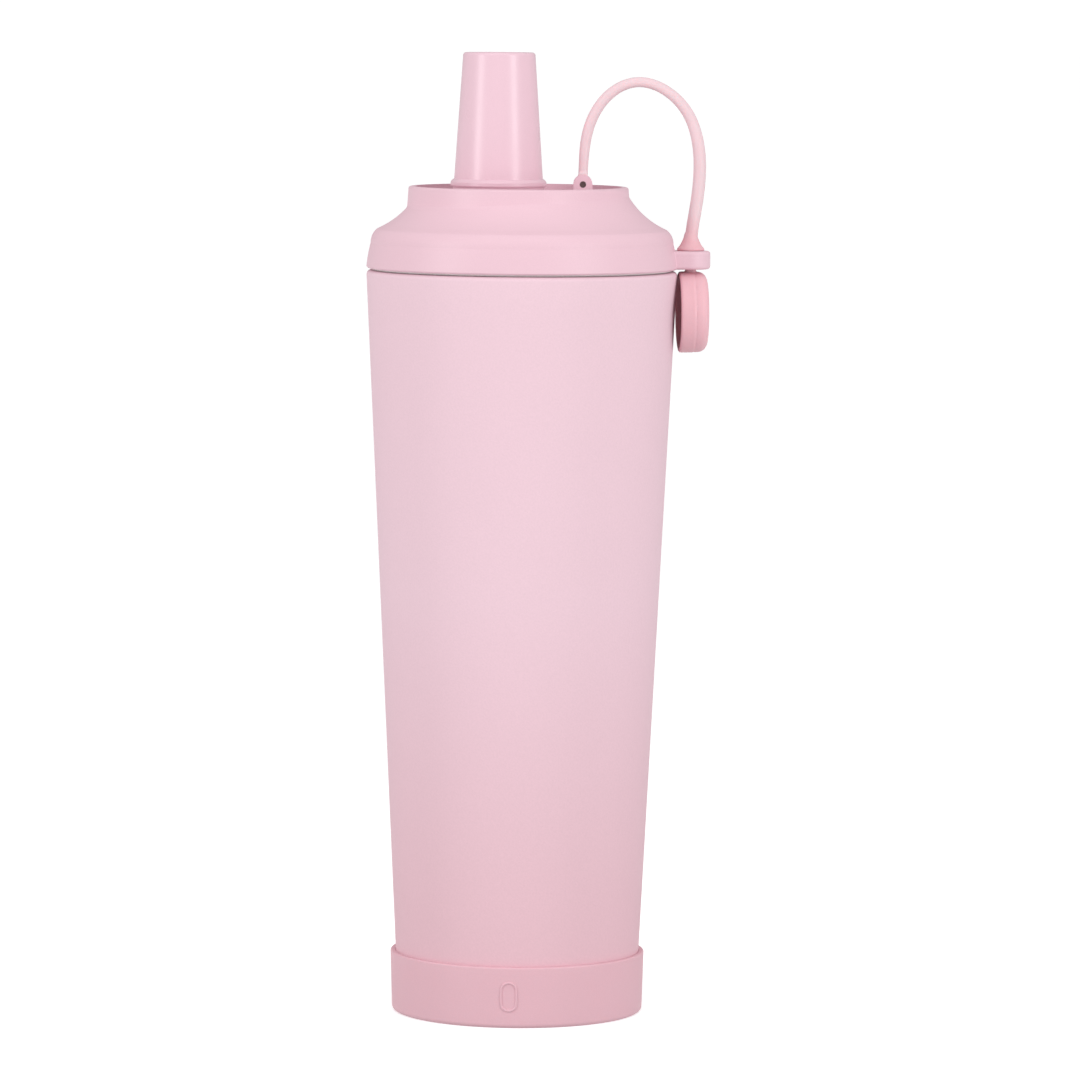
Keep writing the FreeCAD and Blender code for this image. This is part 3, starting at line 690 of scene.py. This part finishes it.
# %% Merge overlapping shapes into one soft skin
def one_moulding(name, meshes, voxel_mm, rounds):
    """Joins overlapping closed meshes into a single smooth skin."""
    joined = bmesh.new()
    for mesh in meshes:
        joined.from_mesh(mesh)
    together = bpy.data.meshes.new("together")
    joined.to_mesh(together)
    joined.free()
    together.materials.append(meshes[0].materials[0])
    helper = bpy.data.objects.new("together", together)
    bpy.context.collection.objects.link(helper)
    skin = helper.modifiers.new("skin", "REMESH")
    skin.mode = "VOXEL"
    skin.voxel_size = voxel_mm * MM
    skin.use_smooth_shade = True
    soften = helper.modifiers.new("soften", "SMOOTH")
    soften.factor = 0.5
    soften.iterations = rounds
    graph = bpy.context.evaluated_depsgraph_get()
    mesh = bpy.data.meshes.new_from_object(helper.evaluated_get(graph))
    bpy.data.objects.remove(helper)
    return finished(name, mesh, SOFT_EDGES)


def slab(outer, hole, half_thickness, finish):
    """A flat plate in the XZ plane, in mm, with an outline and one hole."""
    plate = bmesh.new()
    for loop in (outer, hole):
        corners = [plate.verts.new((x * MM, -half_thickness * MM, z * MM)) for x, z in loop]
        for number, corner in enumerate(corners):
            plate.edges.new((corners[number - 1], corner))
    bmesh.ops.triangle_fill(plate, use_beauty=True, edges=plate.edges[:])
    grown = bmesh.ops.extrude_face_region(plate, geom=plate.faces[:])
    raised = [item for item in grown["geom"] if isinstance(item, bmesh.types.BMVert)]
    bmesh.ops.translate(plate, vec=(0, 2 * half_thickness * MM, 0), verts=raised)
    bmesh.ops.recalc_face_normals(plate, faces=plate.faces)
    mesh = bpy.data.meshes.new("slab")
    plate.to_mesh(mesh)
    plate.free()
    mesh.materials.append(finish)
    return mesh


# %% [markdown]
# ## The strap
# One silicone moulding joins the lid to the spout's cap. A flat eyelet sits on a pin between two ears inside
# the collar, a round cord arches over, and a flare like a trumpet's bell stops it in the keeper tab. The cord
# gets thicker towards the flare. Its line is a smooth spline through the space that the model gives it.

# %% Shape the strap's cord, eyelet, flare and stem
STRAP_LINE = [
    (17.10, 237.4, 1.40),
    (17.15, 239.6, 1.28),
    (17.30, 244.5, 1.48),
    (18.20, 251.6, 1.55),
    (21.40, 258.6, 1.55),
    (26.60, 263.6, 1.50),
    (33.20, 265.6, 1.45),
    (40.30, 263.2, 1.50),
    (46.40, 257.6, 1.60),
    (49.35, 250.4, 1.72),
    (50.45, 242.2, 1.82),
    (49.80, 233.2, 1.82),
    (48.55, 226.0, 1.80),
    (47.90, 221.8, 1.78),
    (47.80, 218.2, 1.80),
]
PIN_X = 17.1
PIN_Z = 235.9
EYELET_RADIUS = 2.45
EYELET_HOLE = 1.1
EYELET_HALF = 1.5
NECK_FOOT = (1.45, 2.3)        # half width of the eyelet's neck, and its height over the pin
NECK_HEAD = (1.2, 3.3)
KEEPER_X = 47.8
FLARE_BASE = 217.35
FLARE_HEIGHT = 5.0
FLARE_RADIUS = 3.95
STEM_RADIUS = 2.6
STEM_BASE = 215.0


def arc(radius, first, last, steps=24):
    """Points of an arc round the pin, in mm, between two angles in degrees."""
    angles = [math.radians(first + (last - first) * step / steps) for step in range(steps + 1)]
    return [(PIN_X + radius * math.cos(angle), PIN_Z + radius * math.sin(angle)) for angle in angles]


eyelet_edge = arc(EYELET_RADIUS, -220, 40)
for side, (half_width, rise) in ((1, NECK_FOOT), (1, NECK_HEAD), (-1, NECK_HEAD), (-1, NECK_FOOT)):
    eyelet_edge.append((PIN_X + side * half_width, PIN_Z + rise))
eyelet_hole = arc(EYELET_HOLE, 0, 345, 23)
eyelet = slab(eyelet_edge, eyelet_hole, EYELET_HALF, strap_silicone)

cord = sweep([(x, 0.0, z, radius) for x, z, radius in STRAP_LINE], strap_silicone, 0.6)

flare = turn(
    rounded([
        (0.0, STEM_BASE, 0.0),
        (STEM_RADIUS, STEM_BASE, 0.4),
        (STEM_RADIUS, FLARE_BASE, 0.1),
        (FLARE_RADIUS, FLARE_BASE, 0.2),
        (FLARE_RADIUS - 0.1, FLARE_BASE + 0.6, 0.3),
        (3.05, FLARE_BASE + 1.5, 0.8),
        (2.15, FLARE_BASE + 3.4, 2.0),
        (1.75, FLARE_BASE + FLARE_HEIGHT, 0.0),
        (0.0, FLARE_BASE + FLARE_HEIGHT, 0.0),
    ]),
    strap_silicone,
    96,
)
flare.transform(Matrix.Translation((KEEPER_X * MM, 0, 0)))

strap = one_moulding("strap", [cord, eyelet, flare], 0.22, 5)
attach(strap, "lid")
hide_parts("tether_strap")

# %% [markdown]
# ## The spout cap
# The cap is a soft cup that is pressed over the spout. Parked, it hangs edge-on beside the cup, with its
# open side towards the wall. It is a turned shape, so the lathe makes it upright first. It is then turned
# into its parked place, and a short neck that reaches up into the keeper tab is merged with it.

# %% Turn the cap and merge it with its neck
CAP_RADIUS = 11.5
CAP_DEPTH = 8.0
CAP_DOME = 0.3
CAP_WALL = 1.3
CAP_TOP_WALL = 1.2
CAP_BEAD = 4.3                 # height of the shallow groove round the cap
CAP_OPEN_X = 44.45
CAP_CENTRE_Z = 199.9
CAP_TILT = 0.4
CAP_TWIST = 3.5
NECK_HALF_THICK = 1.5
NECK_HALF_WIDE = 1.8
NECK_SIDES = 24
HINGE_Z = 213.2

cap_cup = turn(
    ring([
        (CAP_RADIUS - CAP_WALL, 0.0, 0.3),
        (CAP_RADIUS, 0.0, 0.6),
        (CAP_RADIUS, CAP_BEAD - 0.3, 0.1),
        (CAP_RADIUS - 0.3, CAP_BEAD, 0.15),
        (CAP_RADIUS - 0.08, CAP_BEAD + 0.3, 0.1),
        (CAP_RADIUS - 0.2, CAP_DEPTH, 2.6),
        (4.5, CAP_DEPTH + 0.75 * CAP_DOME, 6.0),
        (0.0, CAP_DEPTH + CAP_DOME, 0.0),
        (0.0, CAP_DEPTH - CAP_TOP_WALL, 0.0),
        (CAP_RADIUS - CAP_WALL, CAP_DEPTH - CAP_TOP_WALL, 1.5),
    ]),
    cap_silicone,
    160,
)
cap_cup.transform(Matrix.Rotation(math.radians(90 - CAP_TILT), 4, "Y"))
cap_cup.transform(Matrix.Rotation(math.radians(CAP_TWIST), 4, "Z"))
cap_cup.transform(Matrix.Translation((CAP_OPEN_X * MM, 0, CAP_CENTRE_Z * MM)))


def neck_shape():
    """The flat neck between the cap's rim and the keeper tab, wider at its root."""
    levels = ((209.4, 2.0, 3.4), (210.6, 1.8, 2.6), (211.4, NECK_HALF_THICK, NECK_HALF_WIDE))
    levels += ((HINGE_Z + 0.9, NECK_HALF_THICK, NECK_HALF_WIDE), (HINGE_Z + 1.4, 0.9, 1.4))
    neck = bmesh.new()
    rows = []
    for height, thick, wide in levels:
        row = []
        for step in range(NECK_SIDES):
            angle = 2 * math.pi * step / NECK_SIDES
            across = math.copysign(abs(math.cos(angle)) ** 0.5, math.cos(angle)) * thick
            along = math.copysign(abs(math.sin(angle)) ** 0.5, math.sin(angle)) * wide
            row.append(neck.verts.new(((KEEPER_X + across) * MM, along * MM, height * MM)))
        rows.append(row)
    for low, high in zip(rows, rows[1:]):
        for number in range(NECK_SIDES):
            neck.faces.new((low[number - 1], low[number], high[number], high[number - 1]))
    neck.faces.new(rows[0][::-1])
    neck.faces.new(rows[-1])
    bmesh.ops.recalc_face_normals(neck, faces=neck.faces)
    mesh = bpy.data.meshes.new("neck")
    neck.to_mesh(mesh)
    neck.free()
    return mesh


cap = one_moulding("cap", [cap_cup, neck_shape()], 0.25, 3)
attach(cap, "cap")
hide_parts("spout_cap")

# %% [markdown]
# ## The mixing grid
# Under the lid a moulded lattice breaks up lumps of powder. Its bars repeat at an even pitch and each ends in
# the round rim, so a tree lays them out: it copies one bar along a line of points and makes each copy as
# long as the circle is wide there. The same set, turned by a quarter, crosses it.


# %% Build the lattice tree
def build_lattice():
    """Copies the input bar across a circle, twice, at right angles."""
    tree = new_tree(
        "lattice",
        {"Pitch": "NodeSocketFloat", "Count": "NodeSocketInt", "Circle": "NodeSocketFloat"},
    )
    source = put(tree, "NodeGroupInput")
    pitch, count = source.outputs["Pitch"], source.outputs["Count"]
    gaps = put(tree, "ShaderNodeMath", {0: count, 1: -1.0}, operation="ADD")
    span = put(tree, "ShaderNodeMath", {0: gaps.outputs[0], 1: pitch}, operation="MULTIPLY")
    first = put(tree, "ShaderNodeMath", {0: span.outputs[0], 1: -0.5}, operation="MULTIPLY")
    start = put(tree, "ShaderNodeCombineXYZ", {"X": first.outputs[0]})
    stride = put(tree, "ShaderNodeCombineXYZ", {"X": pitch})
    line = put(
        tree,
        "GeometryNodeMeshLine",
        {"Count": count, "Start Location": start.outputs[0], "Offset": stride.outputs[0]},
    )
    where = put(tree, "ShaderNodeSeparateXYZ", {0: put(tree, "GeometryNodeInputPosition").outputs[0]})
    part = put(
        tree, "ShaderNodeMath", {0: where.outputs["X"], 1: source.outputs["Circle"]}, operation="DIVIDE"
    )
    square = put(tree, "ShaderNodeMath", {0: part.outputs[0], 1: part.outputs[0]}, operation="MULTIPLY")
    rest = put(tree, "ShaderNodeMath", {0: 1.0, 1: square.outputs[0]}, operation="SUBTRACT")
    chord = put(tree, "ShaderNodeMath", {0: rest.outputs[0]}, operation="SQRT")
    size = put(tree, "ShaderNodeCombineXYZ", {"X": 1.0, "Y": chord.outputs[0], "Z": 1.0})
    bars = put(
        tree,
        "GeometryNodeInstanceOnPoints",
        {"Points": line.outputs["Mesh"], "Instance": source.outputs["Geometry"], "Scale": size.outputs[0]},
    )
    crossed = put(
        tree,
        "GeometryNodeTransform",
        {"Geometry": bars.outputs[0], "Rotation": (0, 0, math.pi / 2), "Scale": (1, 1, 0.97)},
    )
    both = put(tree, "GeometryNodeJoinGeometry")
    tree.links.new(bars.outputs[0], both.inputs[0])
    tree.links.new(crossed.outputs[0], both.inputs[0])
    close_tree(tree, source, both.outputs[0])
    return tree


lattice = build_lattice()

# %% [markdown]
# The one bar that gets copied is a slim block with its long edges rounded off, as a moulded bar has them so
# that it leaves the mould. The rim comes from the lathe, and both become one piece.

# %% Lay out the bars and turn the rim
grid_low, grid_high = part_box("mixing_grid")
GRID_RADIUS = grid_high.x / MM
GRID_RIM = 2.2
BAR_WIDTH = 1.8
BAR_HEIGHT = 2.0
BAR_EDGE = 0.35
BAR_PITCH = 8.0
BAR_COUNT = 9

grid_base = grid_low.z / MM
grid_top = grid_high.z / MM
inner_circle = GRID_RADIUS - GRID_RIM / 2

bar_section = rounded([
    (-BAR_WIDTH / 2, 0.0, BAR_EDGE),
    (BAR_WIDTH / 2, 0.0, BAR_EDGE),
    (BAR_WIDTH / 2, BAR_HEIGHT, BAR_EDGE),
    (-BAR_WIDTH / 2, BAR_HEIGHT, BAR_EDGE),
])
bar = bmesh.new()
near = [bar.verts.new((point.x * MM, -inner_circle * MM, point.y * MM)) for point in bar_section]
far = [bar.verts.new((point.x * MM, inner_circle * MM, point.y * MM)) for point in bar_section]
for number in range(len(near)):
    bar.faces.new((near[number - 1], near[number], far[number], far[number - 1]))
bar.faces.new(near[::-1])
bar.faces.new(far)
bar_mesh = bpy.data.meshes.new("bar")
bar.to_mesh(bar_mesh)
bar.free()
bar_helper = bpy.data.objects.new("bar", bar_mesh)
bpy.context.collection.objects.link(bar_helper)
bars = bake(
    bar_helper, lattice, grid_plastic, Pitch=BAR_PITCH * MM, Count=BAR_COUNT, Circle=inner_circle * MM
)
bars.transform(Matrix.Translation((0, 0, grid_low.z)))

rim = turn(
    ring([
        (GRID_RADIUS - GRID_RIM, grid_base, 0.4),
        (GRID_RADIUS, grid_base, 0.4),
        (GRID_RADIUS, grid_top, 0.6),
        (GRID_RADIUS - GRID_RIM, grid_top, 0.6),
    ]),
    grid_plastic,
)
grid_form = bmesh.new()
grid_form.from_mesh(bars)
grid_form.from_mesh(rim)
grid_form.to_mesh(bars)
grid_form.free()
powder_grid = finished("powder_grid", bars)
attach(powder_grid, "mixer")
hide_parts("mixing_grid")

# %% [markdown]
# ## Pieces whose measured shape is already right
# The lid, its core, the spout with its nut and seal, the pin and the steel parts keep their modelled shape.
# They only get a finish. A plastic lid is moulded with a fine spark-eroded grain, and the spout is polished
# further, because lips touch it.

# %% Give the measured pieces their finishes
NODE_FINISH = {
    "lid_shell": lid_plastic,
    "lid_core": core_plastic,
    "spout_nut": core_plastic,
    "spout": spout_plastic,
    "spout_seal": seal_silicone,
    "lid_gasket": seal_silicone,
    "tether_pin": pin_steel_painted_shade,
    "inner_liner": bare_steel,
    "outer_bottom": bare_steel,
    "bottom_cover": bare_steel,
    "seal_bead": glass_bead,
    "getter": getter_metal,
}
for node, finish in NODE_FINISH.items():
    for material_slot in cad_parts[node].material_slots:
        material_slot.material = finish
print("measured pieces with a finish:", len(NODE_FINISH))

# %% [markdown]
# ## Floor and light
# The bottle stands on a pale surface in a bright, even studio. Two tall softboxes in front, left and right,
# draw the two soft bands on the spout, and a wide one above brightens the lid. The surroundings are plain
# white to the eye but give a little less light from behind and below, so the sides of the bottle turn
# gently darker.

# %% Lay the floor
FLOOR_RADIUS = 30.0            # metres, so that its edge lies behind the horizon
FLOOR_GLOW = 0.40

floor_mesh = bpy.data.meshes.new("floor")
floor_shape = bmesh.new()
bmesh.ops.create_circle(floor_shape, cap_ends=True, segments=96, radius=FLOOR_RADIUS)
floor_shape.to_mesh(floor_mesh)
floor_shape.free()
floor = bpy.data.objects.new("floor", floor_mesh)
bpy.context.collection.objects.link(floor)
floor_paper = moulded("floor_paper", (0.86, 0.86, 0.86), 0.85, 1.2, 0.02, mottle=0.004)
floor_surface = floor_paper.node_tree.nodes["Principled BSDF"]
floor_surface.inputs["Emission Color"].default_value = (1.0, 1.0, 1.0, 1.0)
floor_surface.inputs["Emission Strength"].default_value = FLOOR_GLOW
floor_surface.inputs["Specular IOR Level"].default_value = 0.1
floor_mesh.materials.append(floor_paper)
floor.visible_diffuse = False


# %% Hang the softboxes
SOFTBOX_AIM = Vector((0, 0, 0.15))     # the middle of the bottle, in metres


def softbox(name, azimuth, elevation, distance, width, height, watts):
    """A rectangular light that faces the middle of the bottle; azimuth 0 is the front, 90 the right."""
    light = bpy.data.lights.new(name, "AREA")
    light.shape = "RECTANGLE"
    light.size = width
    light.size_y = height
    light.energy = watts
    box = bpy.data.objects.new(name, light)
    bpy.context.collection.objects.link(box)
    around_axis, above = math.radians(azimuth), math.radians(elevation)
    back = Vector((
        math.sin(around_axis) * math.cos(above), -math.cos(around_axis) * math.cos(above), math.sin(above)
    ))
    box.location = back * distance + SOFTBOX_AIM
    box.rotation_mode = "QUATERNION"
    box.rotation_quaternion = (-back).to_track_quat("-Z", "Y")
    box.visible_camera = False


softbox("left_softbox", -58, 12, 0.80, 0.22, 0.6, 2.1)
softbox("right_softbox", 46, 12, 0.80, 0.22, 0.6, 2.3)
softbox("top_softbox", 0, 66, 0.9, 0.7, 0.7, 0.7)

# %% Light the room
world = bpy.data.worlds.new("studio")
world.use_nodes = True
bpy.context.scene.world = world
room = world.node_tree
room.nodes.clear()
heading = put(room, "ShaderNodeSeparateXYZ", {0: put(room, "ShaderNodeTexCoord").outputs["Generated"]})
upward = put(
    room,
    "ShaderNodeMapRange",
    {"Value": heading.outputs["Z"], "From Min": -0.2, "From Max": 0.9, "To Min": 0.64, "To Max": 0.94},
)
forward = put(
    room,
    "ShaderNodeMapRange",
    {"Value": heading.outputs["Y"], "From Min": -0.4, "From Max": 0.9, "To Min": 1.0, "To Max": 0.60},
)
strength = put(
    room, "ShaderNodeMath", {0: upward.outputs["Result"], 1: forward.outputs["Result"]}, operation="MULTIPLY"
)
seen = put(room, "ShaderNodeLightPath").outputs["Is Camera Ray"]
glow = put(room, "ShaderNodeMapRange", {"Value": seen, "To Min": strength.outputs[0], "To Max": 1.05})
sky = put(room, "ShaderNodeBackground", {"Color": (1.0, 1.0, 1.0, 1.0), "Strength": glow.outputs["Result"]})
put(room, "ShaderNodeOutputWorld", {"Surface": sky.outputs[0]})
bpy.context.scene.view_settings.view_transform = "Standard"
print("lights:", len(bpy.data.lights))
